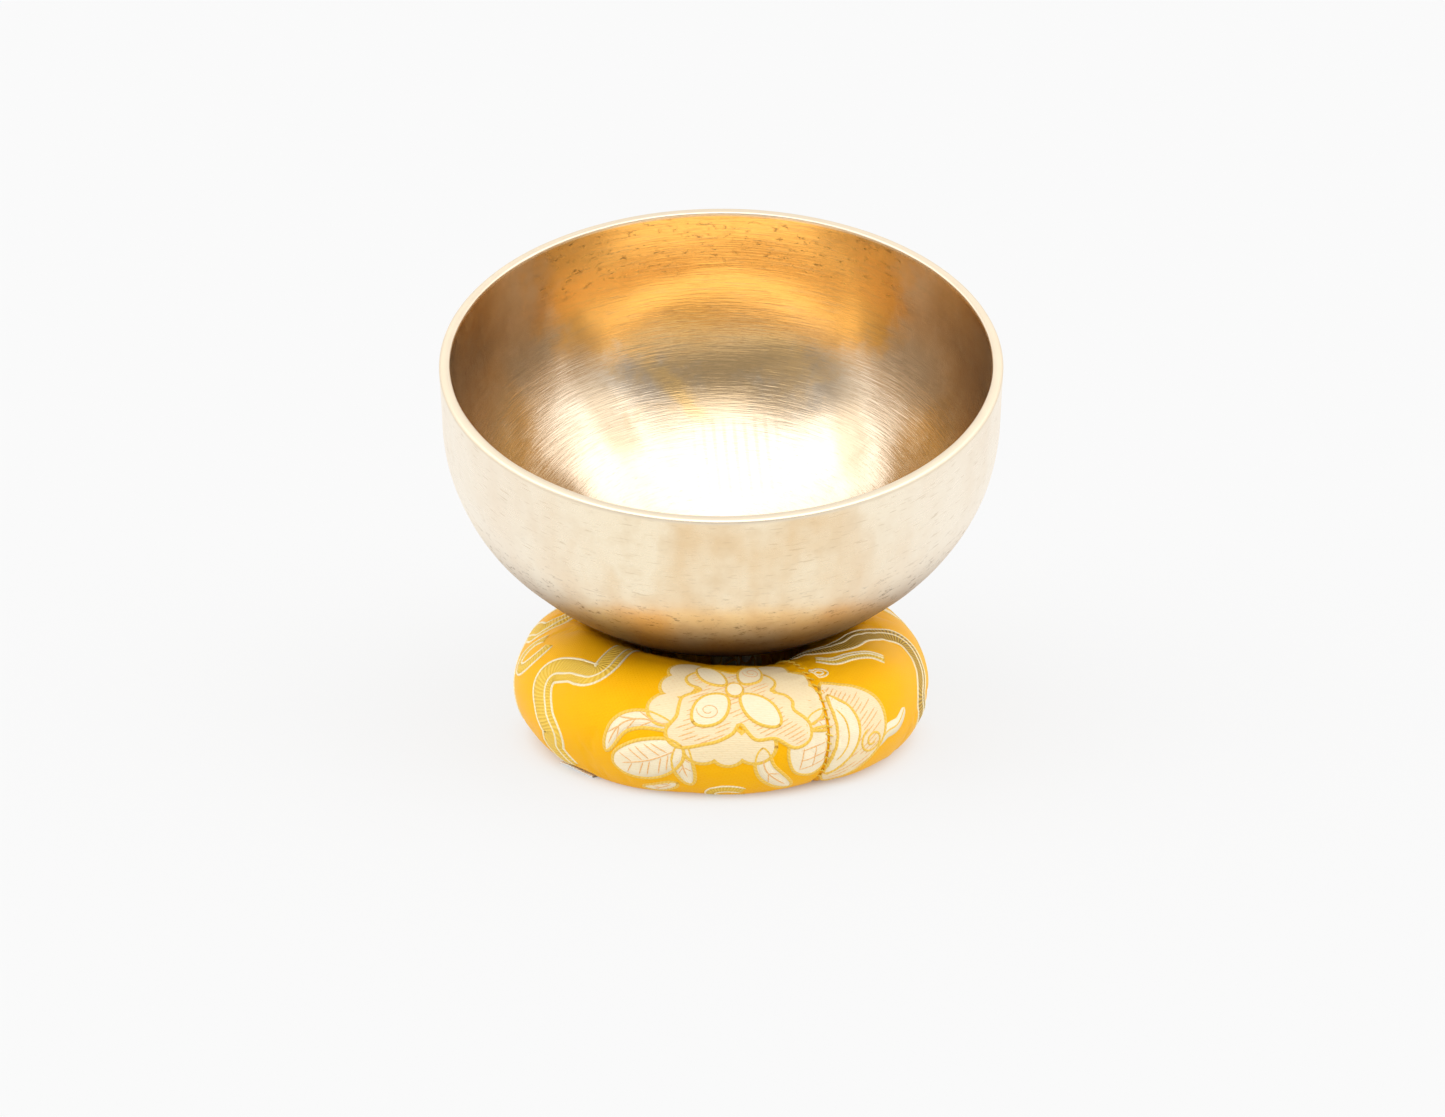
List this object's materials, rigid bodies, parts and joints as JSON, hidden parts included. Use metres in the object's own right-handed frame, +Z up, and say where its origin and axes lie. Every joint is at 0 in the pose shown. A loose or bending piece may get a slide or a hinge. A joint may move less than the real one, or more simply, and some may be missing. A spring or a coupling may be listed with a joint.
{
  "type": "singing bowl",
  "caption": "Hammered bronze singing bowl leaning on a stuffed brocade ring cushion, for sound massage and meditation; the bowl lifts off.",
  "frame": {"origin": "centre of the ring cushion's base, on the surface that it rests on", "axes": "+Z up, -Y towards the side that the bowl's mouth leans to, +X to the right seen from that side"},
  "size_m": [0.13, 0.1299, 0.1124],
  "materials": {
    "bronze": "satin",
    "brocade": "satin",
    "cotton_filling": "matte",
    "gold_thread": "satin",
    "seam_thread": "matte",
    "label_tape": "satin"
  },
  "bodies": {
    "cushion": {"cushion_cover": "brocade", "cushion_filling": "cotton_filling", "cross_seam": "gold_thread", "long_seam": "seam_thread", "care_label": "label_tape"},
    "bowl": {"bowl": "bronze"}
  },
  "joints": [
    {"name": "bowl_lift", "type": "slide", "parent": "cushion", "child": "bowl", "axis": [0, 0, 1], "range_m": [0, 0.06]}
  ]
}
